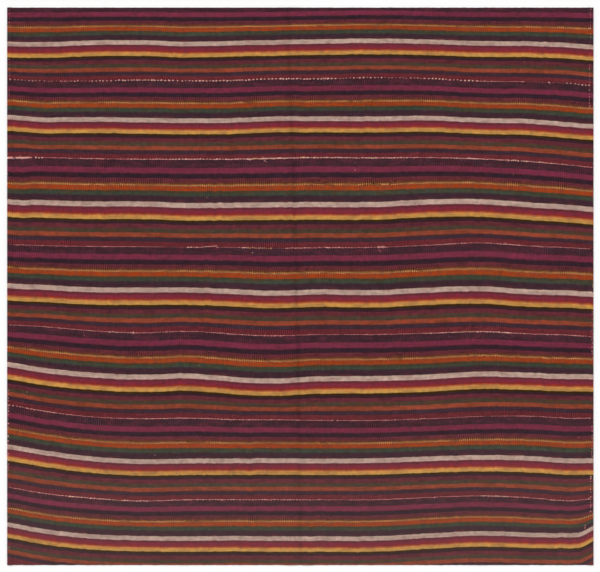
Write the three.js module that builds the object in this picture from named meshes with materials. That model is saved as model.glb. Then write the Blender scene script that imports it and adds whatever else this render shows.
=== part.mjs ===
// A flat-woven kilim lying open on the floor, in millimetres, +Z up.
// Seven long strips of warp-faced cloth run along X and are sewn selvedge to
// selvedge, numbered from the top edge (+Y) down. Both ends of each strip are
// turned under as narrow hems. Z = 0 is the floor, and X = Y = 0 the middle.

import * as THREE from "three";

// Driving dimensions
const LENGTH = 1803; // along the strips, from hem fold to hem fold
const WIDTH = 1714; // across all seven strips
const CLOTH = 2.2; // thickness of the weave
const SEAM_GAP = 0.3; // between the selvedges of two strips
const SELVEDGE = 5; // the rounded margin along a strip's long edge
const SELVEDGE_EDGE = 0.65; // the cloth's thickness at its very edge, as a share of CLOTH
const HEM = 12; // width of the turned-under end
const HEM_STEP = 7; // length over which the cloth comes down from the hem
const HEM_FOLD = 3; // length of the hem's rounded fold
const HEM_FOLD_SHARE = 0.7; // height of the fold's outer edge, as a share of the hem's

// Where the six seams run: at each place along the strips, how far each seam
// lies above (+) or below (-) the kilim's middle line.
const SEAM_COURSE = [
  { x: -902, seam: [637, 395, 129, -118, -363, -616] },
  { x: -786, seam: [631, 396, 125, -124, -384, -637] },
  { x: -647, seam: [632, 393, 123, -136, -401, -651] },
  { x: -494, seam: [634, 391, 122, -143, -407, -660] },
  { x: -340, seam: [632, 391, 120, -138, -405, -656] },
  { x: -201, seam: [633, 391, 120, -147, -410, -656] },
  { x: -94, seam: [638, 393, 117, -152, -410, -656] },
  { x: 60, seam: [638, 396, 119, -148, -412, -656] },
  { x: 230, seam: [642, 395, 120, -148, -412, -656] },
  { x: 398, seam: [639, 396, 127, -144, -407, -649] },
  { x: 552, seam: [631, 392, 134, -139, -400, -644] },
  { x: 706, seam: [629, 384, 124, -146, -399, -650] },
  { x: 829, seam: [624, 373, 119, -150, -406, -660] },
  { x: 902, seam: [616, 365, 114, -155, -405, -652] },
];
const STRIPS = SEAM_COURSE[0].seam.length + 1;

// The second seam has come open from the left end
const OPEN_SEAM = 1; // its place in the seam rows above
const OPEN_LENGTH = 78;
const OPEN_WIDTH = 6;
const OPEN_TAPER = 14; // length over which the opening closes

// The fold across the strips, left from years of lying folded in half: a
// trough that touches the floor between two low ridges. It leans to one side.
const CREASE_TOP_X = -40;
const CREASE_FOOT_X = 0;
const CREASE_BOW = 8; // how far its middle stands off the straight line
const CREASE_RIDGE = 20; // from the trough to each ridge
const CREASE_REACH = 60; // from the trough to where the cloth lies flat again
const CREASE_HEIGHT = 1.6;

// Slack in the weave, where the cloth stands a little off the floor: the
// middle of each low swell, its reach along and across the strips, its height.
const SLACK = [
  { x: -690, y: 520, along: 170, across: 95, height: 1.8 },
  { x: -420, y: -270, along: 240, across: 110, height: 2.2 },
  { x: -640, y: -520, along: 210, across: 100, height: 2.4 },
  { x: 330, y: 250, along: 230, across: 105, height: 2.0 },
  { x: 560, y: 745, along: 220, across: 85, height: 1.7 },
  { x: 620, y: 15, along: 200, across: 100, height: 2.2 },
  { x: 430, y: -540, along: 230, across: 95, height: 1.9 },
  { x: 740, y: -745, along: 130, across: 80, height: 2.6 },
  { x: -260, y: 740, along: 190, across: 80, height: 1.5 },
];

// Steps of the mesh along and across a strip
const COLUMN_PITCH = 52;
const CREASE_SHIFT_REACH = 420; // columns nearer than this lean with the crease
const ROWS_ACROSS = 4; // equal steps between the two selvedge margins

// Colour of the striped wool seen from afar
const WOOL = { color: 0x6b2c38, roughness: 0.92, metalness: 0 };

// Value at x on a smooth curve through rows of { x, ... }, read by the
// function "value". Each inner point's slope is that of its two neighbours.
function alongCourse(rows, value, x) {
  const last = rows.length - 2;
  let i = 0;
  while (i < last && x > rows[i + 1].x) {
    i += 1;
  }
  const slopeAt = (k) => {
    const before = rows[Math.max(k - 1, 0)];
    const after = rows[Math.min(k + 1, rows.length - 1)];
    return (value(after) - value(before)) / (after.x - before.x);
  };
  const span = rows[i + 1].x - rows[i].x;
  const t = (x - rows[i].x) / span;
  const rise = value(rows[i + 1]) - value(rows[i]);
  const startSlope = slopeAt(i) * span;
  const endSlope = slopeAt(i + 1) * span;
  const square = (3 * rise - 2 * startSlope - endSlope) * t * t;
  const cube = (startSlope + endSlope - 2 * rise) * t * t * t;
  return value(rows[i]) + startSlope * t + square + cube;
}

function seamY(seam, x) {
  return alongCourse(SEAM_COURSE, (row) => row.seam[seam], x);
}

// Space between the two selvedges of a seam
function seamWidth(seam, x) {
  if (seam !== OPEN_SEAM) {
    return SEAM_GAP;
  }
  const fromEnd = x + LENGTH / 2;
  const open = THREE.MathUtils.smoothstep(OPEN_LENGTH - fromEnd, 0, OPEN_TAPER);
  return SEAM_GAP + open * (OPEN_WIDTH - SEAM_GAP);
}

// The long edges of a strip: the outer two are straight
function upperEdge(strip, x) {
  if (strip === 0) {
    return WIDTH / 2;
  }
  return seamY(strip - 1, x) - seamWidth(strip - 1, x) / 2;
}

function lowerEdge(strip, x) {
  if (strip === STRIPS - 1) {
    return -WIDTH / 2;
  }
  return seamY(strip, x) + seamWidth(strip, x) / 2;
}

function creaseX(y) {
  const down = 0.5 - y / WIDTH;
  const bow = CREASE_BOW * (1 - (2 * down - 1) ** 2);
  return THREE.MathUtils.lerp(CREASE_TOP_X, CREASE_FOOT_X, down) + bow;
}

// Height of the cloth's underside above the floor
function lift(x, y) {
  const away = Math.abs(x - creaseX(y));
  const rising = THREE.MathUtils.smoothstep(away, 0, CREASE_RIDGE);
  const falling = 1 - THREE.MathUtils.smoothstep(away, CREASE_RIDGE, CREASE_REACH);
  let height = CREASE_HEIGHT * rising * falling;
  for (const swell of SLACK) {
    const along = Math.min(Math.abs(x - swell.x) / swell.along, 1);
    const across = Math.min(Math.abs(y - swell.y) / swell.across, 1);
    const shape = Math.cos((along * Math.PI) / 2) * Math.cos((across * Math.PI) / 2);
    height += swell.height * shape * shape;
  }
  return height;
}

// Thickness of the cloth: double in the hems, thin at its rounded edges
function thickness(x, atSelvedge) {
  const fromEnd = LENGTH / 2 - Math.abs(x);
  const doubled = 1 - THREE.MathUtils.smoothstep(fromEnd, HEM, HEM + HEM_STEP);
  const fold = THREE.MathUtils.lerp(HEM_FOLD_SHARE, 1, Math.min(fromEnd / HEM_FOLD, 1));
  return CLOTH * (1 + doubled) * fold * (atSelvedge ? SELVEDGE_EDGE : 1);
}

// Places from one to another, both left out, in equal steps of about COLUMN_PITCH
function placesBetween(from, to) {
  const steps = Math.round((to - from) / COLUMN_PITCH);
  const places = [];
  for (let i = 1; i < steps; i += 1) {
    places.push(THREE.MathUtils.lerp(from, to, i / steps));
  }
  return places;
}

// Distances from the crease's middle line at which the mesh has a column
function columnPlaces() {
  const end = LENGTH / 2;
  const hem = [end - HEM - HEM_STEP, end - HEM, end - HEM_FOLD, end];
  const opening = [OPEN_TAPER, OPEN_TAPER / 2, 0].map((left) => OPEN_LENGTH - left - end);
  const crease = [-CREASE_REACH, -CREASE_RIDGE, 0, CREASE_RIDGE, CREASE_REACH];
  return [
    ...hem.map((place) => -place).reverse(),
    ...opening,
    ...placesBetween(OPEN_LENGTH - end, -CREASE_REACH),
    ...crease,
    ...placesBetween(CREASE_REACH, hem[0]),
    ...hem,
  ];
}

const COLUMNS = columnPlaces();

// A column's x where it crosses height y: near the crease it leans with it
function columnX(place, y) {
  const beyond = Math.max(Math.abs(place) - CREASE_REACH, 0);
  const share = Math.max(1 - beyond / (CREASE_SHIFT_REACH - CREASE_REACH), 0);
  return place + creaseX(y) * share;
}

// Places across a strip, 0 at its upper edge and 1 at its lower one
function rowPlaces(strip) {
  const margin = SELVEDGE / (upperEdge(strip, 0) - lowerEdge(strip, 0));
  const rows = [0];
  for (let i = 0; i <= ROWS_ACROSS; i += 1) {
    rows.push(margin + ((1 - 2 * margin) * i) / ROWS_ACROSS);
  }
  rows.push(1);
  return rows;
}

const ROW_STEPS = ROWS_ACROSS + 2;

// One point of a strip, at a column and row of its mesh. The column leans, so
// its x is found first, at the height that the row has at the kilim's middle.
function clothPoint(strip, place, row, onTop) {
  const across = rowPlaces(strip)[row];
  const roughY = THREE.MathUtils.lerp(upperEdge(strip, 0), lowerEdge(strip, 0), across);
  const x = columnX(place, roughY);
  const y = THREE.MathUtils.lerp(upperEdge(strip, x), lowerEdge(strip, x), across);
  const atSelvedge = row === 0 || row === ROW_STEPS;
  const z = lift(x, y) + (onTop ? thickness(x, atSelvedge) : 0);
  return new THREE.Vector3(x, y, z);
}

// A strip is a thin box of many steps, laid out on the cloth's points
function stripGeometry(strip) {
  const columnSteps = COLUMNS.length - 1;
  const geometry = new THREE.BoxGeometry(1, 1, 1, columnSteps, ROW_STEPS, 1);
  const corners = geometry.attributes.position;
  for (let i = 0; i < corners.count; i += 1) {
    const column = Math.round((corners.getX(i) + 0.5) * columnSteps);
    const row = Math.round((0.5 - corners.getY(i)) * ROW_STEPS);
    const point = clothPoint(strip, COLUMNS[column], row, corners.getZ(i) > 0);
    corners.setXYZ(i, point.x, point.y, point.z);
  }
  geometry.computeVertexNormals();
  return geometry;
}

function makeStrip(strip) {
  const mesh = new THREE.Mesh(stripGeometry(strip), new THREE.MeshStandardMaterial(WOOL));
  mesh.name = `strip_${strip + 1}`;
  return mesh;
}

const kilim = new THREE.Group();
for (let strip = 0; strip < STRIPS; strip += 1) {
  kilim.add(makeStrip(strip));
}

export default kilim;
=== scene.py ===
"""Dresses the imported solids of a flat-woven kilim: cloth, sewing, light and camera.

Lengths are in metres, in the frame of the solids: X runs along the strips, Y
across them and Z up, with the floor at Z = 0. Tables with a length in
millimetres say so.
"""

import math
import random
from functools import cache, reduce
from typing import NamedTuple

import bmesh
import bpy
import numpy as np
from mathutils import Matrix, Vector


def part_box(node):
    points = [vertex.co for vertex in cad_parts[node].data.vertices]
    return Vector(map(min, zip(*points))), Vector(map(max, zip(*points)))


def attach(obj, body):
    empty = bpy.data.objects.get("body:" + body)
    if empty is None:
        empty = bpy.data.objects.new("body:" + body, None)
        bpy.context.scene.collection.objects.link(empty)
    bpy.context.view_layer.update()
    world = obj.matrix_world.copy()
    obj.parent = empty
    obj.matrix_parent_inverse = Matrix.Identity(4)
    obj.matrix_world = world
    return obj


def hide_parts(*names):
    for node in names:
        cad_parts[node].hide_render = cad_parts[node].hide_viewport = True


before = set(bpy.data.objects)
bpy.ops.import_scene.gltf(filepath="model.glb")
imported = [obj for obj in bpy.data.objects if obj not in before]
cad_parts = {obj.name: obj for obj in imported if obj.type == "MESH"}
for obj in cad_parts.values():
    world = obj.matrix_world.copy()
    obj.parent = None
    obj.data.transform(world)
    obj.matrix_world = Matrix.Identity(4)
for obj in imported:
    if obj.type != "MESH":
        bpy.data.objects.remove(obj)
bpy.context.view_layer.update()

bl_info = {
    "name": "Striped Kilim",
    "version": (1, 0, 0),
    "blender": (4, 5, 0),
    "location": "View3D > Sidebar > Kilim",
    "description": "Weaves, sews and lights a flat kilim of striped strips",
    "category": "Object",
}

MM = 0.001
TINY = 1e-6

STRIPS = len(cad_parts)
SEAMS = STRIPS - 1
LEFT_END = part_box("strip_1")[0].x
RIGHT_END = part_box("strip_1")[1].x
TOP_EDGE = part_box("strip_1")[1].y
FOOT_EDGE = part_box(f"strip_{STRIPS}")[0].y
LENGTH = RIGHT_END - LEFT_END

# The order of the stripes in every strip: the lower edge of each as a share of
# the strip, its yarn, the yarn of every second warp end, its aged colour, and
# how much lighter and darker its ends are by turns: partly the yarns' own ticking,
# partly painted shade of the weft ribs.
STRIPES = (
    (0.093, "aubergine", "dusk", "wine", 0.60),
    (0.150, "plum", "plum", "wine", 0.16),
    (0.160, "wine", "ink", "maroon", 0.30),
    (0.210, "ink", "ink", "aubergine", 0.26),
    (0.246, "maroon", "wine", "aubergine", 0.50),
    (0.267, "umber", "maroon", "umber", 0.74),
    (0.281, "ochre", "umber", "umber", 0.70),
    (0.296, "gold", "umber", "ochre", 0.60),
    (0.345, "orange", "orange", "amber", 0.30),
    (0.368, "olive", "green", "umber", 0.30),
    (0.400, "green", "green", "olive", 0.20),
    (0.414, "slate", "navy", "dusk", 0.26),
    (0.450, "navy", "aubergine", "dusk", 0.26),
    (0.475, "aubergine", "navy", "maroon", 0.30),
    (0.517, "pale", "cream", "lilac", 0.07),
    (0.535, "blush", "pale", "lilac", 0.07),
    (0.563, "wine", "maroon", "maroon", 0.24),
    (0.597, "crimson", "crimson", "plum", 0.22),
    (0.615, "red", "red", "crimson", 0.22),
    (0.634, "coral", "orange", "rust", 0.20),
    (0.658, "yellow", "yellow", "ochre", 0.10),
    (0.677, "straw", "yellow", "ochre", 0.10),
    (0.706, "soot", "soot", "soot", 0.36),
    (0.731, "ink", "aubergine", "dusk", 0.26),
    (0.782, "maroon", "wine", "aubergine", 0.16),
    (0.833, "moss", "moss", "umber", 0.16),
    (0.883, "rust", "rust", "umber", 0.10),
    (0.896, "bark", "dusk", "umber", 0.24),
    (0.940, "navy", "dusk", "aubergine", 0.42),
    (1.000, "brick", "maroon", "maroon", 0.58),
)
PALE_PLACE = 0.475  # share of the strip at which the pale stripe begins
YELLOW_PLACE = 0.683  # share at which the yellow stripe ends

# How far below each strip's upper edge its pale stripe begins, in millimetres,
# at places along the strips.
PALE_COURSE = (
    # x, then strips 1 to 7
    (-902, 105, 109, 124, 119, 113, 121, 108),
    (-786, 106, 111, 130, 120, 126, 120, 109),
    (-647, 101, 111, 131, 125, 128, 121, 110),
    (-494, 100, 115, 129, 125, 128, 124, 107),
    (-340, 105, 115, 134, 123, 129, 124, 112),
    (-201, 102, 115, 133, 128, 131, 119, 111),
    (-94, 100, 115, 134, 130, 131, 118, 112),
    (60, 97, 115, 136, 128, 128, 117, 112),
    (230, 95, 119, 135, 131, 127, 116, 112),
    (398, 98, 114, 128, 130, 126, 115, 110),
    (552, 103, 113, 123, 133, 122, 118, 108),
    (706, 104, 114, 125, 133, 119, 122, 106),
    (829, 109, 119, 122, 131, 119, 123, 98),
    (866, 112, 118, 121, 131, 117, 123, 97),
    (902, 115, 117, 121, 131, 114, 123, 82),
)
# From the pale stripe's upper edge to the yellow one's lower edge, in millimetres
PALE_TO_YELLOW = (49, 49.5, 55, 54, 54, 51, 48)
FIRST_COURSE = 107 * MM  # the least from the first strip's selvedge to its pale stripe
TUCKED = (7, 0.8, 0, 2.2, 1.0, 0, 2.8)  # millimetres hidden at each strip's upper edge
OUTER_EDGE = (0.5, 0.0)  # millimetres by which the top and bottom edges lie higher
LAST_REMAINDER = 74 * MM  # from the last strip's yellow stripe to its own selvedge

# Low swells where the weave is slack, as in the solids, in millimetres
SWELLS = (
    # x, y, reach along, reach across, height
    (-690, 520, 170, 95, 1.8),
    (-420, -270, 240, 110, 2.2),
    (-640, -520, 210, 100, 2.4),
    (330, 250, 230, 105, 2.0),
    (560, 745, 220, 85, 1.7),
    (620, 15, 200, 100, 2.2),
    (430, -540, 230, 95, 1.9),
    (740, -745, 130, 80, 2.6),
    (-260, 740, 190, 80, 1.5),
)

# The fold line across the strips
CREASE_TOP_X = -0.040
CREASE_FOOT_X = 0.0
CREASE_BOW = 0.008
CREASE_RIDGE = 0.020
CREASE_REACH = 0.060

# Painted shade along the fold line: how wide it is, how far it wanders to and fro,
# and how much darker it makes the cloth
CREASE_SHADE_WIDTH = 0.0075
CREASE_SHADE_WANDER = 0.008
CREASE_SHADE_DARKENING = 0.24

# Small waves in the cloth, and the seeds of the random draws
PICK_DRIFT = 3.5 * MM  # of the weft picks along a strip
OUTER_WOBBLE = 0.25 * MM
SEAM_WOBBLE = 0.35 * MM
STRIPE_SWAY = 0.0016  # of a stripe's edges, as a share of the strip
WOBBLE_SEED = 40
DRIFT_SEED = 300
UNEVEN_SEED = 500
SWAY_SEED = 700
SEAM_SEED = 900
HEM_SEEDS = (61, 62)
FLECK_SEED = 71

# Steps of a strip's mesh: columns to each weft pick, rows on top and below
COLUMNS_PER_PICK = 2
ROWS_ON_TOP = 28
ROWS_BELOW = 4
SEAM_PLACES = 361  # at which a seam's course is read
WIDTH_PLACES = 181  # at which a strip's width is measured
SELVEDGE_ROUND = ((0.0, 0.5), (0.35 * MM, 0.85), (1.3 * MM, 1.0))  # inset, level

# The looks of the sewing: pitch, stitch length and yarn thickness in
# millimetres, slant in degrees, shade from 0, dull rose, to 1, gold.
STITCH_LOOKS = {
    "bare": None,
    "faint": (9.5, 4.4, 2.2, 50, 0.12),
    "dull": (11.6, 4.6, 3.4, 40, 0.42),
    "ticks": (6.2, 5.4, 3.0, 70, 0.40),
    "dots": (11.6, 4.4, 4.2, 35, 0.66),
    "thread": (9.6, 8.6, 2.3, 5, 0.30),
    "wire": (9.4, 9.4, 2.3, 4, 0.38),
    "line": (9.6, 9.0, 2.7, 6, 0.47),
    "cord": (9.4, 9.0, 3.3, 10, 0.60),
    "bright": (11.0, 7.0, 4.0, 16, 0.62),
    "dense": (8.6, 5.0, 4.6, 45, 0.68),
    "hatch": (6.4, 5.6, 3.0, 52, 0.60),
    "golden": (6.0, 5.0, 2.8, 58, 0.86),
    "gilt": (6.0, 6.4, 4.4, 42, 0.76),
}

# Each seam's stretches from left to right: where each begins, in millimetres
SEAM_STRETCHES = (
    {
        -878: "dull", -733: "thread", -693: "dull", -640: "dots", -546: "dense", -448: "bright",
        -401: "dots", -309: "bright", -186: "dense", -155: "bright", -60: "dense", -20: "bright",
        30: "dots", 85: "bright", 110: "dull", 183: "dots", 260: "dull", 383: "bright", 546: "line",
        590: "thread", 681: "faint", 820: "dots", 890: "bare",
    },
    {
        -813: "dense", -790: "thread", -721: "wire", -653: "line", -600: "thread", -530: "line",
        -400: "cord", -161: "gilt", -38: "cord", 0: "gilt", 15: "cord", 207: "gilt", 235: "cord",
        330: "line", 454: "cord", 576: "line", 640: "dense", 700: "cord", 761: "line", 820: "wire",
        895: "bare",
    },
    {
        -890: "thread", -720: "wire", -480: "thread", -417: "faint", -345: "cord", -312: "bare",
        -241: "thread", -177: "bright", -161: "golden", -85: "faint", -42: "line", 32: "ticks",
        80: "line", 150: "wire", 180: "line", 269: "thread", 390: "line", 515: "wire", 576: "line",
        690: "wire", 720: "ticks", 790: "wire", 860: "line", 893: "bare",
    },
    {
        -890: "thread", -800: "wire", -586: "hatch", -560: "wire", -530: "line", -480: "wire",
        -310: "thread", -285: "line", -60: "wire", 20: "thread", 146: "wire", 392: "line",
        491: "golden", 545: "cord", 650: "line", 690: "wire", 761: "line", 860: "wire", 893: "bare",
    },
    {
        -893: "dull", -838: "line", -715: "wire", -660: "thread", -600: "wire", -530: "line",
        -120: "wire", 100: "dull", 115: "wire", 330: "ticks", 392: "thread", 560: "faint",
        590: "thread", 680: "wire", 893: "bare",
    },
    {
        -893: "wire", -860: "line", -720: "cord", -570: "golden", -540: "cord", -480: "line",
        10: "wire", 60: "thread", 207: "wire", 392: "line", 440: "wire", 560: "hatch", 640: "line",
        700: "wire", 761: "line", 820: "wire", 888: "bare",
    },
)

# Knots and tufts of sewing yarn on each seam: x and the size of the knot in
# millimetres, and its number of loose hairs
KNOTS = {
    1: ((-893, 3.6, 2), (-455, 3.0, 2), (72, 3.4, 3), (684, 3.8, 1), (764, 4.2, 1)),
    2: ((-112, 6.4, 3), (518, 3.4, 1), (641, 3.4, 4)),
    3: ((-254, 3.4, 1), (-172, 3.6, 1), (85, 4.6, 2), (241, 3.6, 4), (254, 3.8, 4), (629, 2.6, 4)),
    4: ((-515, 3.0, 4), (-478, 2.6, 1)),
    5: ((-893, 3.2, 1),),
    6: ((886, 4.6, 1),),
}
# Long stitches that have come loose on each seam, in millimetres: x and distance
# above the seam at both ends, and the thickness at both ends
LOOSE_FLOATS = {
    1: ((-200, 0.5, -176, 0.5, 1.5, 1.5),),
    2: ((-853, -5.0, -862, 8.0, 1.5, 1.1),),
    3: ((-316, -1.0, -256, 4.5, 1.1, 2.2), (236, 0.5, 268, -1.0, 1.4, 1.4)),
}

# Loose yarn that lies in the open end of the second seam, its cream strands partly
# standing in for painted shade on the floor seen through the gap. In millimetres: x
# and distance above the seam at both ends, and the yarn's shade
OPEN_SEAM = 2
OPEN_SEAM_THICK = 3.1 * MM
OPEN_SEAM_YARN_AND_SHADE = (
    (-899, -0.4, -882, 0.9, 0.58), (-898, 1.9, -884, 2.2, 0.50), (-900, -2.2, -885, -1.8, 0.52),
    (-884, 2.0, -874, -2.0, 0.0), (-881, -1.6, -872, 1.4, 0.05), (-876, 1.2, -846, 1.0, 0.56),
    (-874, -1.4, -848, -1.0, 0.62), (-852, 1.2, -826, 0.3, 0.60), (-850, -1.2, -828, -0.7, 0.52),
)

# Flecks of lint and yarn on the cloth: x and y in millimetres
FLECKS = (
    (-287, 273), (168, 358), (689, 690), (-278, -42), (-447, -519), (-312, -242), (-530, -814),
    (121, -851), (-147, 103), (-665, -150), (-840, -325), (-894, -802), (170, 380), (655, 345),
    (243, 111), (247, 107), (885, 791), (889, 793), (892, 796),
)

# Hem stitches: stretches down each end, how far in they lie, all in millimetres,
# and how full they are
HEM_LEFT = (
    (852, 806, 7, 1.0), (806, 762, 8, 1.0), (700, 640, 7, 1.1), (604, 579, 7, 1.2),
    (389, 343, 1.5, 1.0), (-319, -390, 4.5, 1.8), (-390, -565, 4, 1.8),
    (-706, -718, 2.5, 1.2), (-800, -812, 2.5, 1.4),
)
HEM_RIGHT = (
    (856, 700, 9.5, 1.2), (700, 537, 12, 1.3), (300, 262, 5, 1.0), (10, -6, 2, 1.4),
    (-78, -230, 4.5, 1.5), (-430, -525, 5, 1.6), (-580, -700, 9, 1.9), (-735, -750, 26, 1.4),
)
HEM_PITCH = 10.0 * MM
HEM_STITCH = 5.0 * MM

# Colours of the yarns and the floor as they look on a screen, 0 to 255
YARN_COLOURS = {
    "aubergine": (62, 32, 38),
    "plum": (114, 43, 63),
    "ink": (49, 32, 41),
    "dusk": (62, 41, 50),
    "maroon": (100, 43, 46),
    "wine": (94, 42, 54),
    "umber": (91, 49, 29),
    "amber": (138, 68, 34),
    "gold": (190, 128, 80),
    "ochre": (144, 98, 58),
    "orange": (144, 58, 26),
    "green": (60, 66, 54),
    "pale": (179, 152, 140),
    "cream": (177, 150, 131),
    "blush": (184, 144, 138),
    "lilac": (142, 110, 102),
    "crimson": (119, 40, 54),
    "red": (131, 43, 33),
    "coral": (188, 110, 72),
    "yellow": (192, 134, 68),
    "straw": (176, 144, 78),
    "soot": (56, 38, 14),
    "olive": (70, 57, 35),
    "moss": (70, 58, 47),
    "bark": (79, 38, 29),
    "slate": (56, 50, 48),
    "rust": (138, 64, 45),
    "navy": (60, 42, 51),
    "brick": (97, 35, 43),
    "dust": (150, 136, 128),
    "sewing_rose": (138, 64, 72),
    "sewing_pink": (206, 128, 124),
    "sewing_cream": (240, 186, 170),
    "sewing_gold": (208, 148, 98),
    "floor": (250, 250, 250),
}

STITCH_BLUNTNESS = 4  # how full a stitch stays towards its ends
PLY_LOBE = 0.20  # how far the two plies of the yarn stand out
PLY_TWIST = 4.0  # their turn along half a stitch, in radians
THREADED_THROUGH = 0.15 * MM  # how far the yarn stays above the cloth's underside


def yarn_colour(name, red, green, blue):
    """A colour setting."""
    return bpy.props.FloatVectorProperty(
        name=name.replace("_", " ").capitalize(),
        description="Colour as it looks on a screen",
        subtype="COLOR_GAMMA",
        size=3,
        min=0.0,
        max=1.0,
        default=(red / 255, green / 255, blue / 255),
    )


def length_setting(label, description, default):
    """A length setting, in metres."""
    return bpy.props.FloatProperty(
        name=label,
        description=description,
        default=default,
        min=0.0,
        unit="LENGTH",
        precision=4,
    )


class KilimSizes(bpy.types.PropertyGroup):
    """Sizes of the cloth and its sewing"""

    cloth: length_setting("Cloth", "Thickness of the weave", 2.2 * MM)
    pick: length_setting("Pick", "Mean distance between two weft picks", 2.9 * MM)
    rib: length_setting("Rib", "Height of the ribs over the weft", 0.22 * MM)
    bead: length_setting("Bead", "Depth of the grooves between warp floats", 0.45 * MM)
    hem: length_setting("Hem", "Width of the turned-under ends", 12 * MM)
    hem_step: length_setting("Hem step", "Length of the slope inside a hem", 7 * MM)
    crease: length_setting("Crease", "Height of the ridges beside the fold line", 1.6 * MM)
    unevenness: length_setting("Unevenness", "Rise and fall of the cloth", 0.35 * MM)
    ends: bpy.props.IntProperty(
        name="Warp ends",
        description="Warp ends across one strip",
        default=240,
        min=40,
    )


class KilimYarns(bpy.types.PropertyGroup):
    """Colours of the yarns"""

    __annotations__ = {name: yarn_colour(name, *colour) for name, colour in YARN_COLOURS.items()}


def sizes():
    return bpy.context.scene.kilim_sizes


def linear(screen_value):
    """A screen colour channel as the light that it stands for."""
    if screen_value <= 0.04045:
        return screen_value / 12.92
    return ((screen_value + 0.055) / 1.055) ** 2.4


def yarn(name):
    """A yarn's colour for a shader."""
    screen_colour = getattr(bpy.context.scene.kilim_yarns, name)
    return (*map(linear, screen_colour), 1.0)


# Shapes that the cloth follows


def smooth_course(places, values, at):
    """Values at the wanted places on a smooth curve through a short table."""
    slopes = np.gradient(values, places)
    i = np.clip(np.searchsorted(places, at, side="right") - 1, 0, len(places) - 2)
    span = places[i + 1] - places[i]
    t = (at - places[i]) / span
    rise = values[i + 1] - values[i]
    start = slopes[i] * span
    end = slopes[i + 1] * span
    square = (3 * rise - 2 * start - end) * t**2
    cube = (start + end - 2 * rise) * t**3
    return values[i] + start * t + square + cube


def ease(value, low, high):
    """0 below low, 1 above high and a soft step between them."""
    t = np.clip((value - low) / (high - low), 0, 1)
    return t * t * (3 - 2 * t)


def crease_x(y):
    """The fold line's x where it crosses height y."""
    down = (TOP_EDGE - y) / (TOP_EDGE - FOOT_EDGE)
    bow = CREASE_BOW * (1 - (2 * down - 1) ** 2)
    return CREASE_TOP_X + (CREASE_FOOT_X - CREASE_TOP_X) * down + bow


def lift(x, y):
    """Height of the cloth's underside above the floor."""
    away = np.abs(x - crease_x(y))
    rising = ease(away, 0, CREASE_RIDGE) ** 0.6
    falling = 1 - ease(away, CREASE_RIDGE, CREASE_REACH)
    height = sizes().crease * rising * falling
    for swell in SWELLS:
        at_x, at_y, along, across, rise = [value * MM for value in swell]
        near_x = np.minimum(np.abs(x - at_x) / along, 1)
        near_y = np.minimum(np.abs(y - at_y) / across, 1)
        shape = np.cos(near_x * math.pi / 2) * np.cos(near_y * math.pi / 2)
        height = height + rise * shape**2
    return height


def thickness(x):
    """Thickness of the cloth, double in the hems."""
    from_end = np.minimum(x - LEFT_END, RIGHT_END - x)
    hem = sizes().hem
    doubled = 1 - ease(from_end, hem, hem + sizes().hem_step)
    return sizes().cloth * (1 + doubled)


def wandering(values, seed, waves, shortest, longest):
    """A smooth random line between about -1 and 1, the same on each run."""
    draw = random.Random(seed)
    line = np.zeros_like(values)
    for _ in range(waves):
        length = draw.uniform(shortest, longest)
        line = line + np.sin(values * 2 * math.pi / length + draw.uniform(0, 2 * math.pi))
    return line / math.sqrt(waves)


def unevenness(x, y, seed):
    """A gentle rise and fall all over a strip, between about -1 and 1."""
    draw = random.Random(seed)
    height = np.zeros_like(x)
    waves = 9
    for _ in range(waves):
        length = draw.uniform(0.035, 0.14)
        turn = draw.uniform(0, math.pi)
        along = x * math.cos(turn) + y * math.sin(turn)
        height = height + np.sin(along * 2 * math.pi / length + draw.uniform(0, 2 * math.pi))
    return height / math.sqrt(waves)


def solid_edges(strip, places):
    """Upper and lower edge of a strip's solid at each x."""
    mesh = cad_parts[f"strip_{strip}"].data
    corners = np.array([vertex.co for vertex in mesh.vertices])
    ends = corners[np.array([edge.vertices for edge in mesh.edges])]
    ends = ends[np.abs(ends[:, 0, 0] - ends[:, 1, 0]) > TINY]
    start, run = ends[:, 0], ends[:, 1] - ends[:, 0]
    inside = np.clip(places, corners[:, 0].min() + TINY, corners[:, 0].max() - TINY)
    upper, lower = np.empty(len(places)), np.empty(len(places))
    for i, x in enumerate(inside):
        share = (x - start[:, 0]) / run[:, 0]
        crossing = (share >= 0) & (share <= 1)
        height = (start[:, 1] + share * run[:, 1])[crossing]
        upper[i], lower[i] = height.max(), height.min()
    return upper, lower


def stripe_places(strip, y, upper, lower, pale_depth):
    """Where points at y lie in the order of stripes, 0 to 1, piece by piece."""
    depth = upper - y
    yellow_depth = pale_depth + PALE_TO_YELLOW[strip - 1] * MM
    full_depth = upper - lower
    if strip == STRIPS:
        full_depth = yellow_depth + LAST_REMAINDER
    above_course = pale_depth + TUCKED[strip - 1] * MM
    if strip == 1:
        above_course = np.maximum(above_course, FIRST_COURSE)
    above = PALE_PLACE * (1 - (pale_depth - depth) / above_course)
    between = (depth - pale_depth) / (yellow_depth - pale_depth)
    middle = PALE_PLACE + between * (YELLOW_PLACE - PALE_PLACE)
    beyond = (depth - yellow_depth) / (full_depth - yellow_depth)
    below = YELLOW_PLACE + beyond * (1 - YELLOW_PLACE)
    return np.where(depth < pale_depth, above, np.where(depth < yellow_depth, middle, below))


def strip_section():
    """The outline of a strip cut across: for each corner its share of the
    width from the upper edge, its inset from the nearer edge and its level
    from 0, the underside, to 1, the top."""
    into_top = [(0.0, inset, level) for inset, level in SELVEDGE_ROUND]
    top = [(i / ROWS_ON_TOP, 0.0, 1.0) for i in range(1, ROWS_ON_TOP)]
    out_of_top = [(1.0, -inset, level) for _, inset, level in reversed(into_top)]
    into_below = [(1.0, -inset, 1 - level) for _, inset, level in into_top[1:]]
    below = [(1 - i / ROWS_BELOW, 0.0, 0.0) for i in range(1, ROWS_BELOW)]
    out_of_below = [(0.0, inset, 1 - level) for _, inset, level in reversed(into_top[1:])]
    return np.array(into_top + top + out_of_top + into_below + below + out_of_below)


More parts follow.
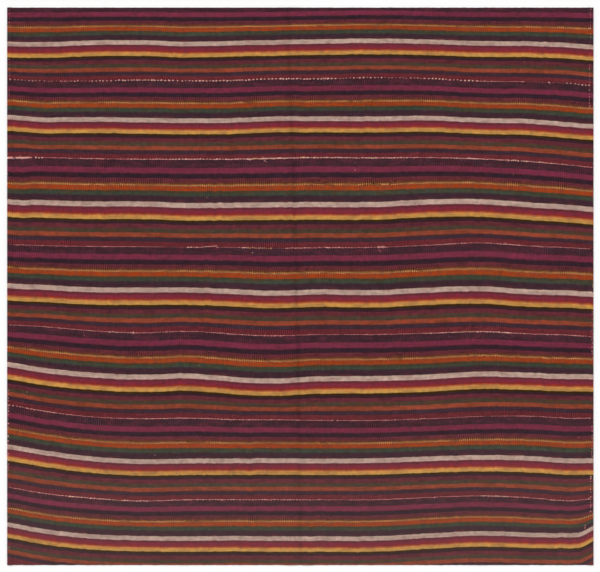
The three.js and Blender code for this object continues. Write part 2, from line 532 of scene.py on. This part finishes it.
def pick_places(strip):
    """The mesh columns of a strip: woven length and x of each."""
    picks = round(LENGTH / sizes().pick)
    woven = np.linspace(0, LENGTH, picks * COLUMNS_PER_PICK + 1)
    hold_ends = np.sin(woven / LENGTH * math.pi) ** 0.5
    drift = wandering(woven, DRIFT_SEED + strip, 5, 0.18, 0.60) * PICK_DRIFT
    return woven, LEFT_END + woven + drift * hold_ends


def seam_wobble(x, seam):
    """Small waviness of a seam, shared by the two strips that meet there."""
    if seam in (0, STRIPS):
        wobble = wandering(x, WOBBLE_SEED + seam, 6, 0.02, 0.11) * OUTER_WOBBLE
        return wobble + OUTER_EDGE[seam > 0] * MM
    return wandering(x, WOBBLE_SEED + seam, 7, 0.012, 0.07) * SEAM_WOBBLE


def place_strip_points(strip, column, corner):
    """Position, woven length and stripe place for each point of a strip."""
    woven_columns, x_columns = pick_places(strip)
    upper_columns, lower_columns = solid_edges(strip, x_columns)
    upper_columns = upper_columns + seam_wobble(x_columns, strip - 1)
    lower_columns = lower_columns + seam_wobble(x_columns, strip)
    course = np.array(PALE_COURSE) * MM
    pale_columns = smooth_course(course[:, 0], course[:, strip], x_columns)

    share, inset, level = strip_section()[corner % len(strip_section())].T
    x = x_columns[column]
    upper, lower = upper_columns[column], lower_columns[column]
    y = upper + share * (lower - upper) - inset

    thick = thickness(x)
    from_end = np.minimum(x - LEFT_END, RIGHT_END - x)
    fold = np.clip(from_end / (thick / 2), 0.02, 1)
    fullness = np.sqrt(1 - (1 - fold) ** 2)
    relief = sizes().rib * (column % COLUMNS_PER_PICK > 0)
    relief = relief + sizes().unevenness * unevenness(x, y, UNEVEN_SEED + strip) * level
    z = lift(x, y) + thick * (0.5 + (level - 0.5) * fullness)
    z = z + np.where(level > 0.5, relief * fullness, 0.0)

    place = stripe_places(strip, y, upper, lower, pale_columns[column])
    sway = wandering(woven_columns, SWAY_SEED + strip, 6, 0.02, 0.16)[column] * STRIPE_SWAY
    place = np.clip(place + sway * (share > 0) * (share < 1), 0.0, 0.9999)
    return np.stack([x, y, z], 1), woven_columns[column], place


def strip_mesh(strip):
    """A strip as one closed sheet: a grid rolled round its section."""
    picks = round(LENGTH / sizes().pick)
    columns, corners = picks * COLUMNS_PER_PICK, len(strip_section())
    sheet = bmesh.new()
    bmesh.ops.create_grid(sheet, x_segments=columns, y_segments=corners, size=1.0)
    start = np.array([vertex.co for vertex in sheet.verts])
    column = np.rint((start[:, 0] + 1) / 2 * columns).astype(int)
    corner = np.rint((1 - start[:, 1]) / 2 * corners).astype(int)
    points, woven, place = place_strip_points(strip, column, corner)
    length_layer = sheet.verts.layers.float.new("woven_length")
    place_layer = sheet.verts.layers.float.new("stripe_place")
    for vertex, point, along, across in zip(sheet.verts, points, woven, place):
        vertex.co = point
        vertex[length_layer] = along
        vertex[place_layer] = across
    seam = [v for v, k in zip(sheet.verts, corner) if k in (0, corners)]
    bmesh.ops.remove_doubles(sheet, verts=seam, dist=TINY)
    rims = [edge for edge in sheet.edges if edge.is_boundary]
    bmesh.ops.edgeloop_fill(sheet, edges=rims)
    bmesh.ops.recalc_face_normals(sheet, faces=sheet.faces)
    mesh = bpy.data.meshes.new(f"cloth_{strip}")
    sheet.to_mesh(mesh)
    sheet.free()
    add_weave_map(mesh)
    number = mesh.attributes.new("strip_number", "FLOAT", "POINT")
    number.data.foreach_set("value", [float(strip)] * len(mesh.vertices))
    return mesh


def add_weave_map(mesh):
    """A UV map of woven length and stripe place."""
    corner_vertex = np.empty(len(mesh.loops), np.int32)
    mesh.loops.foreach_get("vertex_index", corner_vertex)
    ways = []
    for name in ("woven_length", "stripe_place"):
        values = np.empty(len(mesh.vertices), np.float32)
        mesh.attributes[name].data.foreach_get("value", values)
        mesh.attributes.remove(mesh.attributes[name])
        ways.append(values[corner_vertex])
    weave_map = mesh.uv_layers.new(name="weave")
    weave_map.uv.foreach_set("vector", np.stack(ways, 1).ravel())


def new_object(name, data):
    placed = bpy.data.objects.new(name, data)
    bpy.context.scene.collection.objects.link(placed)
    return placed


def finished_piece(name, mesh, material):
    """A smooth piece of the mesh that rides with the kilim."""
    mesh.shade_smooth()
    mesh.materials.append(material)
    piece = new_object(name, mesh)
    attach(piece, "root")
    return piece


# Materials


class Bench:
    """Adds nodes to one tree and wires them up."""

    def __init__(self, tree):
        self.tree = tree

    def feed(self, socket, value):
        if isinstance(value, bpy.types.NodeSocket):
            self.tree.links.new(value, socket)
        else:
            socket.default_value = value

    def fill(self, sockets, **values):
        for name, value in values.items():
            self.feed(sockets[name.replace("_", " ")], value)

    def add(self, kind, settings=None, **inputs):
        node = self.tree.nodes.new(kind)
        for name, value in (settings or {}).items():
            setattr(node, name, value)
        self.fill(node.inputs, **inputs)
        return node

    def maths(self, operation, *values):
        node = self.add("ShaderNodeMath", {"operation": operation})
        for socket, value in zip(node.inputs, values):
            self.feed(socket, value)
        return node.outputs[0]

    def times(self, first, second):
        return self.maths("MULTIPLY", first, second)

    def scaled(self, value, factor, offset):
        return self.maths("MULTIPLY_ADD", value, factor, offset)

    def range(self, value, low, high, to_low, to_high):
        ends = {"From_Min": low, "From_Max": high, "To_Min": to_low, "To_Max": to_high}
        return self.add("ShaderNodeMapRange", {"clamp": True}, Value=value, **ends).outputs["Result"]

    def blend(self, share, low, high):
        """The low value where the share is 0 and the high one where it is 1."""
        return self.add("ShaderNodeMix", Factor=share, A=low, B=high).outputs["Result"]

    def mix(self, share, first, second):
        """The same for two colours."""
        node = self.add("ShaderNodeMix", {"data_type": "RGBA"}, Factor=share, A=first, B=second)
        return node.outputs["Result"]

    def parts(self, vector):
        return self.add("ShaderNodeSeparateXYZ", Vector=vector).outputs

    def vector(self, x, y, z=0.0):
        return self.add("ShaderNodeCombineXYZ", X=x, Y=y, Z=z).outputs[0]

    def noise(self, place, scale, detail=2.0, roughness=0.5):
        grain = {"Scale": scale, "Detail": detail, "Roughness": roughness}
        return self.add("ShaderNodeTexNoise", Vector=place, **grain).outputs["Fac"]

    def attribute(self, name):
        return self.add("ShaderNodeAttribute", {"attribute_name": name}).outputs["Fac"]

    def object_place(self):
        return self.add("ShaderNodeTexCoord").outputs["Object"]

    def bump(self, height, distance, strength):
        relief = {"Height": height, "Distance": distance, "Strength": strength}
        return self.add("ShaderNodeBump", **relief).outputs["Normal"]

    def group(self, group, **inputs):
        return self.add("ShaderNodeGroup", {"node_tree": group}, **inputs).outputs


def new_group(name, takes, gives):
    """A shader node group with named sockets, and its bench and ends. Each
    socket holds a number, but a place is a vector."""
    group = bpy.data.node_groups.new(name, "ShaderNodeTree")
    for way, sockets in (("INPUT", takes), ("OUTPUT", gives)):
        for socket in sockets:
            kind = "NodeSocketVector" if socket == "Place" else "NodeSocketFloat"
            group.interface.new_socket(socket, in_out=way, socket_type=kind)
    taken = group.nodes.new("NodeGroupInput").outputs
    given = group.nodes.new("NodeGroupOutput").inputs
    return group, Bench(group), taken, given


FLOAT_FLANK = 0.25  # how fast a warp float falls off to its sides, to its ends 1
FLOAT_GROOVE = 0.45  # height of the grooves between floats, as a share
FLOAT_TWIST = (9.0, 3.4)  # turn of the plies, in radians to a pick and to an end


def shed(bench, along, across, first):
    """The warp floats of one shed: at every second pick, every second end.
    Returns the nearest float's pick and end, the place on it and its height."""
    pick = bench.maths("ROUND", bench.scaled(along, 0.5, -0.25 - 0.5 * first))
    pick = bench.scaled(pick, 2.0, float(first))
    end = bench.maths("ROUND", bench.scaled(across, 0.5, -0.5 * first))
    end = bench.scaled(end, 2.0, float(first))
    from_pick = bench.maths("SUBTRACT", bench.maths("SUBTRACT", along, pick), 0.5)
    from_end = bench.maths("SUBTRACT", across, end)
    fall = bench.times(from_pick, from_pick)
    flank = bench.times(bench.times(from_end, from_end), FLOAT_FLANK)
    height = bench.maths("SUBTRACT", 1.0, bench.maths("ADD", fall, flank))
    return pick, end, from_pick, from_end, height


@cache
def weave_group():
    """Warp-faced weave: floats of the two sheds, interlocked like bricks. The
    higher one shows at each point."""
    group, bench, taken, given = new_group(
        "warp_faced_weave",
        ("Woven Length", "Stripe Place", "Pick", "Ends"),
        ("End Place", "Odd End", "Float", "End", "Pick Count", "Ply"),
    )
    along = bench.maths("DIVIDE", taken["Woven Length"], taken["Pick"])
    across = bench.times(taken["Stripe Place"], taken["Ends"])
    even = shed(bench, along, across, 0)
    odd = shed(bench, along, across, 1)
    above = bench.maths("GREATER_THAN", odd[4], even[4])
    pick, end, from_pick, from_end, height = [
        bench.blend(above, low, high) for low, high in zip(even, odd)
    ]
    twists = [bench.times(way, turn) for way, turn in zip((from_pick, from_end), FLOAT_TWIST)]
    bench.fill(
        given,
        End_Place=bench.maths("DIVIDE", end, taken["Ends"]),
        Odd_End=above,
        Float=bench.range(height, FLOAT_GROOVE, 1.0, 0.0, 1.0),
        End=end,
        Pick_Count=pick,
        Ply=bench.maths("COSINE", bench.maths("ADD", *twists)),
    )
    return group


# Streaks of handspun yarn: what each runs along and how fast it changes there,
# the same across the strip, and where in the noise it is read
STREAKS = {
    "Streak": ("length", 26.0, "end", 0.83, 0.0),
    "Bar": ("pick", 0.41, "share", 14.0, 3.1),
    "Patch": ("length", 70.0, "share", 16.0, 5.5),
    "Age": ("length", 24.0, "share", 19.0, 9.1),
    "Lot": ("length", 2.2, "share", 12.0, 12.7),
    "Tick": ("length", 9.0, "share", 7.0, 15.3),
    "Turn": ("length", 14.0, "end", 0.06, 16.6),
}
STRIPS_APART = 17.3  # from one strip to the next in the noise


@cache
def handspun_group():
    """Streaks of handspun yarn: each warp end and each weft pick varies, and
    whole stretches of a stripe are lighter, darker or aged."""
    group, bench, taken, given = new_group(
        "handspun_streaks",
        ("Woven Length", "End", "Ends", "Pick Count", "Strip"),
        STREAKS,
    )
    ways = {
        "length": taken["Woven Length"],
        "pick": taken["Pick Count"],
        "end": taken["End"],
        "share": bench.maths("DIVIDE", taken["End"], taken["Ends"]),
    }
    for name, (along, along_scale, across, across_scale, shift) in STREAKS.items():
        place = bench.vector(
            bench.times(ways[along], along_scale),
            bench.times(ways[across], across_scale),
            bench.scaled(taken["Strip"], STRIPS_APART, shift),
        )
        bench.feed(given[name], bench.noise(place, 1.0, 3.0, 0.6))
    return group


@cache
def crease_shade_group():
    """Painted shade along the fold line, from an object's own coordinates."""
    group, bench, taken, given = new_group("fold_line_soil", ("Place", "Width"), ("Soil",))
    parts = bench.parts(taken["Place"])
    down = bench.range(parts["Y"], FOOT_EDGE, TOP_EDGE, 1.0, 0.0)
    lean = bench.scaled(down, CREASE_FOOT_X - CREASE_TOP_X, CREASE_TOP_X)
    side = bench.scaled(down, 2.0, -1.0)
    flatten = bench.scaled(bench.times(side, side), -CREASE_BOW, CREASE_BOW)
    away = bench.maths("SUBTRACT", parts["X"], bench.maths("ADD", lean, flatten))
    wander = bench.noise(bench.vector(0.0, parts["Y"]), 9.0)
    stray = bench.scaled(wander, CREASE_SHADE_WANDER, -CREASE_SHADE_WANDER / 2)
    near = bench.maths("DIVIDE", bench.maths("ADD", away, stray), taken["Width"])
    bell = bench.maths("EXPONENT", bench.times(bench.times(near, near), -1.0))
    # Patchiness of the painted shade along the fold line
    shade_patchiness = bench.range(bench.noise(taken["Place"], 14.0), 0.3, 0.7, 0.45, 1.0)
    bench.fill(given, Soil=bench.times(bell, shade_patchiness))
    return group


@cache
def fuzz_group():
    """The fine hairiness of wool, for colour, roughness and bump."""
    group, bench, taken, given = new_group("wool_fuzz", ("Place",), ("Fibres", "Hairs"))
    stretch = bench.add("ShaderNodeMapping", Vector=taken["Place"], Scale=(0.35, 1.0, 1.0)).outputs[0]
    bench.fill(
        given,
        Fibres=bench.noise(stretch, 1400.0, 4.0, 0.65),
        Hairs=bench.noise(taken["Place"], 420.0, 3.0, 0.7),
    )
    return group


def colour_ramp(bench, share, places, colours, interpolation="LINEAR"):
    """A colour that depends on a share between 0 and 1."""
    node = bench.add("ShaderNodeValToRGB", Fac=share)
    ramp = node.color_ramp
    ramp.interpolation = interpolation
    while len(ramp.elements) < len(places):
        ramp.elements.new(1.0)
    for element, place in zip(ramp.elements, places):
        element.position = place
    for element, colour in zip(ramp.elements, colours):
        element.color = colour
    return node.outputs["Color"]


def stripe_ramp(bench, place, column):
    """A colour or a grey for each stripe, from a column of their table."""
    starts = [0.0] + [row[0] for row in STRIPES[:-1]]
    entries = [row[column] for row in STRIPES]
    colours = [yarn(each) if isinstance(each, str) else (each, each, each, 1.0) for each in entries]
    return colour_ramp(bench, place, starts, colours, "CONSTANT")


def new_material(name):
    """A material with a plain surface, its bench and the surface's inputs."""
    material = bpy.data.materials.new(name)
    material.use_nodes = True
    material.node_tree.nodes.clear()
    bench = Bench(material.node_tree)
    surface = bench.add("ShaderNodeBsdfPrincipled")
    bench.add("ShaderNodeOutputMaterial", Surface=surface.outputs[0])
    return material, bench, surface.inputs


@cache
def woven_stripes():
    """The striped cloth: stripes, weave, streaks, dust, painted shade in the weave's grooves and
    along the fold line, and partly painted shade of the weft ribs.
    """
    material, bench, surface = new_material("woven_stripes")
    parts = bench.parts(bench.add("ShaderNodeUVMap", {"uv_map": "weave"}).outputs[0])
    place = bench.object_place()
    ends = float(sizes().ends)
    weave = bench.group(
        weave_group(),
        Woven_Length=parts["X"],
        Stripe_Place=parts["Y"],
        Pick=LENGTH / round(LENGTH / sizes().pick),
        Ends=ends,
    )
    spun = bench.group(
        handspun_group(),
        Woven_Length=parts["X"],
        End=weave["End"],
        Ends=ends,
        Pick_Count=weave["Pick Count"],
        Strip=bench.attribute("strip_number"),
    )
    fuzz = bench.group(fuzz_group(), Place=place)
    fold = bench.group(crease_shade_group(), Place=place, Width=CREASE_SHADE_WIDTH)

    even, odd, aged, ticking_and_rib_shade = [
        stripe_ramp(bench, weave["End Place"], column) for column in (1, 2, 3, 4)
    ]
    shown = bench.range(spun["Tick"], 0.38, 0.62, 0.15, 1.0)
    fresh = bench.mix(bench.blend(shown, 0.5, weave["Odd End"]), even, odd)
    colour = bench.mix(bench.range(spun["Age"], 0.45, 0.65, 0.0, 0.5), fresh, aged)
    by_turns = bench.times(ticking_and_rib_shade, shown)
    swapped = bench.maths("GREATER_THAN", spun["Turn"], 0.53)
    turned = bench.maths("ABSOLUTE", bench.maths("SUBTRACT", weave["Odd End"], swapped))

    tones = (
        bench.range(spun["Streak"], 0.25, 0.75, 0.78, 1.22),
        bench.range(spun["Bar"], 0.25, 0.75, 0.87, 1.13),
        bench.range(spun["Patch"], 0.25, 0.75, 0.80, 1.20),
        bench.range(spun["Lot"], 0.30, 0.70, 0.91, 1.09),
        bench.range(fuzz["Fibres"], 0.3, 0.7, 0.90, 1.10),
        # Painted shade in the grooves between warp floats and between the plies of each end
        bench.range(weave["Float"], 0.0, 0.55, 0.60, 1.05),
        bench.range(weave["Ply"], -1.0, 0.2, 0.93, 1.0),
        # Ends lighter and darker by turns: partly their own ticking, partly painted shade of the weft
        # ribs
        bench.scaled(bench.blend(turned, 1.0, -1.0), by_turns, 1.0),
        # Painted shade along the fold line
        bench.scaled(fold["Soil"], -CREASE_SHADE_DARKENING, 1.0),
    )
    shade = bench.add(
        "ShaderNodeHueSaturation",
        Value=reduce(bench.times, tones),
        Color=colour,
        Saturation=bench.range(spun["Patch"], 0.3, 0.7, 0.96, 1.02),
    )
    lower_haze = bench.range(bench.parts(place)["Y"], -0.70, -0.35, 0.05, 0.0)
    dust = bench.times(lower_haze, bench.range(fuzz["Hairs"], 0.35, 0.65, 0.5, 1.5))
    relief = bench.scaled(fuzz["Fibres"], 0.30, weave["Float"])
    relief = bench.scaled(weave["Ply"], 0.07, relief)
    bench.fill(
        surface,
        Base_Color=bench.mix(dust, shade.outputs["Color"], yarn("dust")),
        Roughness=bench.range(fuzz["Hairs"], 0.3, 0.7, 0.84, 0.98),
        Specular_IOR_Level=0.04,
        Normal=bench.bump(relief, sizes().bead, 0.8),
    )
    return material


# The sewing yarn's colour at each shade from 0 to 1
SEWING_SHADES = {0.0: "sewing_rose", 0.4: "sewing_pink", 0.72: "sewing_cream", 0.9: "sewing_gold"}


@cache
def sewing_yarn():
    """The sewing yarn, from dull rose through pink and cream to gold."""
    material, bench, surface = new_material("sewing_yarn")
    place = bench.object_place()
    fuzz = bench.group(fuzz_group(), Place=place)
    drift = bench.range(bench.noise(place, 60.0), 0.3, 0.7, -0.07, 0.07)
    shade = bench.maths("ADD", bench.attribute("yarn_shade"), drift)
    colours = [yarn(name) for name in SEWING_SHADES.values()]
    toned = bench.add(
        "ShaderNodeHueSaturation",
        Value=bench.range(fuzz["Fibres"], 0.3, 0.7, 0.76, 1.12),
        Color=colour_ramp(bench, shade, SEWING_SHADES, colours),
    )
    bench.fill(
        surface,
        Base_Color=toned.outputs["Color"],
        Roughness=bench.range(fuzz["Hairs"], 0.3, 0.7, 0.82, 0.96),
        Specular_IOR_Level=0.06,
        Sheen_Weight=0.03,
        Normal=bench.bump(fuzz["Fibres"], 0.3 * MM, 0.6),
    )
    return material


def pale_floor():
    """A plain pale floor."""
    material, bench, surface = new_material("pale_floor")
    bench.fill(surface, Base_Color=yarn("floor"), Roughness=0.9, Specular_IOR_Level=0.1)
    return material


# Sewing


class Stitch(NamedTuple):
    """A float of yarn that lies on the cloth"""

    x: float
    y: float
    length: float
    thick: float
    turn: float  # its direction in the plane of the cloth
    shade: float  # from 0, dull rose, to 1, gold
    rise: float = 0.3 * MM  # of its middle above the cloth's face
    sink: float = 1.6 * MM  # from its middle down to its ends
    bend: float = 0.0  # how far its middle bows out sideways


def unit_stitch():
    """One stitch along Z, 2 long and 2 thick: two plies twisted together."""
    shape = bmesh.new()
    bmesh.ops.create_uvsphere(shape, u_segments=8, v_segments=8, radius=1.0)
    for vertex in shape.verts:
        along = vertex.co.z
        around = math.atan2(vertex.co.y, vertex.co.x)
        full = max(1 - abs(along) ** STITCH_BLUNTNESS, 0.0) ** 0.5
        full *= 1 + PLY_LOBE * math.cos(2 * around - PLY_TWIST * along)
        vertex.co = (full * math.cos(around), full * math.sin(around), along)
    return shape


def copies(shape, count):
    """A mesh that holds so many copies of a shape, one after another."""
    single = bpy.data.meshes.new("single")
    shape.to_mesh(single)
    shape.free()
    carrier = new_object("carrier", single)
    array = carrier.modifiers.new("copies", "ARRAY")
    array.count = count
    array.use_relative_offset = False
    depsgraph = bpy.context.evaluated_depsgraph_get()
    mesh = bpy.data.meshes.new_from_object(carrier.evaluated_get(depsgraph))
    bpy.data.objects.remove(carrier)
    bpy.data.meshes.remove(single)
    return mesh


def sew(name, stitches):
    """A piece of yarn made of the stitches, each laid on the cloth."""
    mesh = copies(unit_stitch(), len(stitches))
    mesh.name = name
    points = np.empty(len(mesh.vertices) * 3)
    mesh.vertices.foreach_get("co", points)
    side, up, along = points.reshape(-1, 3).T
    each = np.repeat(np.array(stitches), len(mesh.vertices) // len(stitches), axis=0).T
    x, y, length, thick, turn, shade, rise, sink, bend = each
    forward = along * length / 2
    sideways = side * thick / 2 + bend * (1 - along**2)
    at_x = x + forward * np.cos(turn) - sideways * np.sin(turn)
    at_y = y + forward * np.sin(turn) + sideways * np.cos(turn)
    underside = lift(at_x, at_y)
    at_z = underside + thickness(at_x) + rise - sink * along**2 + up * thick / 2
    at_z = np.maximum(at_z, underside + THREADED_THROUGH)
    mesh.vertices.foreach_set("co", np.stack([at_x, at_y, at_z], 1).ravel())
    mesh.attributes.new("yarn_shade", "FLOAT", "POINT").data.foreach_set("value", shade)
    mesh.update()
    return finished_piece(name, mesh, sewing_yarn())


class Seam:
    """The course of one seam along the strips"""

    def __init__(self, number):
        self.x = np.linspace(LEFT_END, RIGHT_END, SEAM_PLACES)
        _, above = solid_edges(number, self.x)
        below, _ = solid_edges(number + 1, self.x)
        self.y = (above + below) / 2 + seam_wobble(self.x, number)

    def at(self, x):
        """The seam's y and its direction at x."""
        step = 3 * MM
        y = float(np.interp(x, self.x, self.y))
        return y, math.atan2(float(np.interp(x + step, self.x, self.y)) - y, step)


def stretch_stitches(seam, start, end, look, draw):
    """Stitches of one look along a stretch of a seam. The more a look slants,
    the more its stitches stray, turn and space unevenly."""
    pitch, length, thick, slant, shade = look
    x = start
    while x < end:
        y, turn = seam.at(x)
        fullness = draw.uniform(0.75, 1.15)
        stray = (0.25 + 0.015 * slant) * MM
        sway = 6 + 0.4 * slant
        yield Stitch(
            x,
            y + draw.uniform(-stray, stray),
            length * MM * draw.uniform(0.8, 1.2) * fullness,
            thick * MM * fullness,
            turn + math.radians(slant + draw.uniform(-sway, sway)),
            min(max(shade + draw.uniform(-0.10, 0.10), 0.0), 1.0),
        )
        uneven = 0.1 + 0.004 * slant
        x += pitch * MM * draw.uniform(1 - uneven, 1 + uneven)


def knot_stitches(x, y, size, hairs, draw):
    """A knot of a few crossed turns of yarn, with loose hairs."""
    for _ in range(4):
        yield Stitch(
            x + draw.uniform(-0.25, 0.25) * size,
            y + draw.uniform(-0.25, 0.25) * size,
            size * draw.uniform(0.8, 1.1),
            size * 0.45,
            draw.uniform(0, math.pi),
            draw.uniform(0.5, 0.72),
            rise=draw.uniform(0.1, 0.3) * size,
            sink=0.3 * size,
        )
    for _ in range(hairs):
        turn = draw.uniform(0, 2 * math.pi)
        reach = draw.uniform(1.2, 2.4) * size
        yield Stitch(
            x + math.cos(turn) * reach * 0.5,
            y + math.sin(turn) * reach * 0.5,
            reach,
            1.0 * MM,
            turn,
            draw.uniform(0.4, 0.66),
            rise=0.9 * MM,
            sink=0.5 * MM,
            bend=draw.uniform(-0.35, 0.35) * reach,
        )


def strand(seam, ends, thick, shade, bow, rise):
    """A loose length of yarn: where it starts and ends, its thickness at both
    ends, how far its middle bows and its height over the cloth's face."""
    start_x, start_off, end_x, end_off = [value * MM for value in ends]
    start = np.array([start_x, seam.at(start_x)[0] + start_off])
    end = np.array([end_x, seam.at(end_x)[0] + end_off])
    run = end - start
    steps = 6
    for i in range(steps):
        along = (i + 0.5) / steps
        x, y = start + run * along
        yield Stitch(
            x,
            y + bow * math.sin(along * math.pi),
            math.hypot(*run) / steps * 1.35,
            thick[0] + (thick[1] - thick[0]) * along,
            math.atan2(run[1], run[0]),
            shade,
            rise=rise,
            sink=0.2 * MM,
        )


def seam_stitches(number):
    """All stitches of one seam, stretch by stretch."""
    draw = random.Random(SEAM_SEED + number)
    seam = Seam(number)
    stretches = SEAM_STRETCHES[number - 1]
    ends = [*stretches][1:] + [RIGHT_END / MM]
    stitches = []
    for (start, name), end in zip(stretches.items(), ends):
        if STITCH_LOOKS[name]:
            stitches += stretch_stitches(seam, start * MM, end * MM, STITCH_LOOKS[name], draw)
    for x, size, hairs in KNOTS[number]:
        stitches += knot_stitches(x * MM, seam.at(x * MM)[0], size * MM, hairs, draw)
    for *ends, start_thick, end_thick in LOOSE_FLOATS.get(number, ()):
        thick = (start_thick * MM, end_thick * MM)
        stitches += strand(seam, ends, thick, shade=0.5, bow=0.8 * MM, rise=0.6 * MM)
    if number == OPEN_SEAM:
        # Cream strands in the open end, partly standing in for painted shade on the floor below
        for *ends, shade in OPEN_SEAM_YARN_AND_SHADE:
            thick = (OPEN_SEAM_THICK, OPEN_SEAM_THICK)
            stitches += strand(seam, ends, thick, shade, bow=0.3 * MM, rise=-0.8 * MM)
    return stitches


def hem_stitches(stretches, end_x, inwards, seed):
    """Hem stitches down one end, seen as short dashes along the fold."""
    draw = random.Random(seed)
    for high, low, inset, full in stretches:
        y = high * MM - draw.uniform(0, HEM_PITCH / 2)
        while y > low * MM:
            yield Stitch(
                end_x + inwards * (inset + draw.uniform(-0.8, 0.8)) * MM,
                y,
                HEM_STITCH * draw.uniform(0.5, 1.25),
                draw.uniform(1.1, 2.1) * MM * full,
                math.pi / 2 + draw.uniform(-0.5, 0.5),
                draw.uniform(0.18, 0.38) * full,
                sink=1.2 * MM,
            )
            y -= HEM_PITCH * draw.uniform(0.6, 1.6)


def flecks():
    draw = random.Random(FLECK_SEED)
    for x, y in FLECKS:
        yield Stitch(
            x * MM,
            y * MM,
            draw.uniform(2.4, 4.2) * MM,
            1.6 * MM,
            draw.uniform(0, math.pi),
            draw.uniform(0.4, 0.68),
            rise=0.6 * MM,
            sink=0.3 * MM,
        )


class KILIM_OT_weave_strips(bpy.types.Operator):
    """Weave the seven striped strips over their solids"""

    bl_idname = "kilim.weave_strips"
    bl_label = "Weave strips"

    def execute(self, context):
        for strip in range(1, STRIPS + 1):
            mesh = strip_mesh(strip)
            piece = finished_piece(f"cloth_{strip}", mesh, woven_stripes())
            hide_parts(f"strip_{strip}")
        return {"FINISHED"}


class KILIM_OT_sew_seams(bpy.types.Operator):
    """Sew the strips together, selvedge to selvedge"""

    bl_idname = "kilim.sew_seams"
    bl_label = "Sew seams"

    def execute(self, context):
        for seam in range(1, SEAMS + 1):
            sew(f"seam_{seam}", seam_stitches(seam))
        return {"FINISHED"}


class KILIM_OT_sew_hems(bpy.types.Operator):
    """Sew down the hems at both ends"""

    bl_idname = "kilim.sew_hems"
    bl_label = "Sew hems"

    def execute(self, context):
        sew("hem_stitches_left", list(hem_stitches(HEM_LEFT, LEFT_END, 1, HEM_SEEDS[0])))
        sew("hem_stitches_right", list(hem_stitches(HEM_RIGHT, RIGHT_END, -1, HEM_SEEDS[1])))
        return {"FINISHED"}


class KILIM_OT_scatter_flecks(bpy.types.Operator):
    """Scatter the few flecks of lint and yarn that lie on the cloth"""

    bl_idname = "kilim.scatter_flecks"
    bl_label = "Scatter flecks"

    def execute(self, context):
        sew("yarn_flecks", list(flecks()))
        return {"FINISHED"}


class KILIM_OT_declare_cloth(bpy.types.Operator):
    """Read each strip's upper and lower edges along its length; nothing is kept"""

    bl_idname = "kilim.declare_cloth"
    bl_label = "Declare cloth"

    def execute(self, context):
        for strip in range(1, STRIPS + 1):
            places = np.linspace(LEFT_END, RIGHT_END, WIDTH_PLACES)
            upper, lower = solid_edges(strip, places)
        return {"FINISHED"}


class KILIM_OT_set_stage(bpy.types.Operator):
    """Lay the floor and set the light and the camera"""

    bl_idname = "kilim.set_stage"
    bl_label = "Set stage"

    def execute(self, context):
        lay_floor()
        set_light(context.scene)
        set_camera(context.scene)
        return {"FINISHED"}


# Stage

FLOOR_HALF = 6.0
FLOOR_DROP = 0.2 * MM
VIEW_WIDTH = 1.845  # of the photographed field, at the cloth's face
VIEW_CENTRE = (-0.0010, 0.0012)  # its middle, from the middle of the kilim
CAMERA_HEIGHT = 5.0
SENSOR_WIDTH = 36.0
SKY_STRENGTH = 0.66
SUN_STRENGTH = 1.64
SUN_SPREAD = 24  # degrees
SUN_TILT = 42  # degrees from straight above
SUN_TURN = 22  # degrees from the top edge towards the left


def lay_floor():
    floor = bmesh.new()
    bmesh.ops.create_grid(floor, x_segments=1, y_segments=1, size=FLOOR_HALF)
    bmesh.ops.translate(floor, verts=floor.verts, vec=(0, 0, -FLOOR_DROP))
    mesh = bpy.data.meshes.new("floor")
    floor.to_mesh(mesh)
    floor.free()
    mesh.materials.append(pale_floor())
    new_object("floor", mesh)


def set_light(scene):
    """An even pale surround and one broad soft light."""
    world = bpy.data.worlds.new("surround")
    world.use_nodes = True
    background = world.node_tree.nodes["Background"].inputs
    Bench(world.node_tree).fill(background, Color=(1.0, 1.0, 1.0, 1.0), Strength=SKY_STRENGTH)
    scene.world = world
    light = bpy.data.lights.new("broad_light", "SUN")
    light.energy = SUN_STRENGTH
    light.angle = math.radians(SUN_SPREAD)
    lamp = new_object("broad_light", light)
    lamp.rotation_euler = (math.radians(-SUN_TILT), 0, math.radians(SUN_TURN))
    scene.view_settings.view_transform = "Standard"


def set_camera(scene):
    """A long lens straight above, with the top edge at the top."""
    camera = bpy.data.cameras.new("camera")
    camera.sensor_width = SENSOR_WIDTH
    camera.lens = SENSOR_WIDTH * CAMERA_HEIGHT / VIEW_WIDTH
    camera.clip_end = 50.0
    viewer = new_object("camera", camera)
    viewer.location = (*VIEW_CENTRE, CAMERA_HEIGHT + sizes().cloth)
    scene.camera = viewer


class KILIM_PT_maker(bpy.types.Panel):
    """Lists the steps of making the kilim and its settings"""

    bl_label = "Kilim"
    bl_idname = "KILIM_PT_maker"
    bl_space_type = "VIEW_3D"
    bl_region_type = "UI"
    bl_category = "Kilim"

    def draw(self, context):
        for step in STEPS:
            self.layout.operator(step.bl_idname)
        for settings in (context.scene.kilim_sizes, context.scene.kilim_yarns):
            box = self.layout.box()
            for name in settings.__annotations__:
                box.prop(settings, name)


STEPS = (
    KILIM_OT_weave_strips,
    KILIM_OT_sew_seams,
    KILIM_OT_sew_hems,
    KILIM_OT_scatter_flecks,
    KILIM_OT_declare_cloth,
    KILIM_OT_set_stage,
)
CLASSES = (KilimSizes, KilimYarns, *STEPS, KILIM_PT_maker)


def register():
    for each in CLASSES:
        bpy.utils.register_class(each)
    bpy.types.Scene.kilim_sizes = bpy.props.PointerProperty(type=KilimSizes)
    bpy.types.Scene.kilim_yarns = bpy.props.PointerProperty(type=KilimYarns)


def unregister():
    del bpy.types.Scene.kilim_yarns
    del bpy.types.Scene.kilim_sizes
    for each in reversed(CLASSES):
        bpy.utils.unregister_class(each)


def main():
    register()
    bpy.ops.kilim.weave_strips()
    bpy.ops.kilim.sew_seams()
    bpy.ops.kilim.sew_hems()
    bpy.ops.kilim.scatter_flecks()
    bpy.ops.kilim.declare_cloth()
    bpy.ops.kilim.set_stage()


if __name__ == "__main__":
    main()
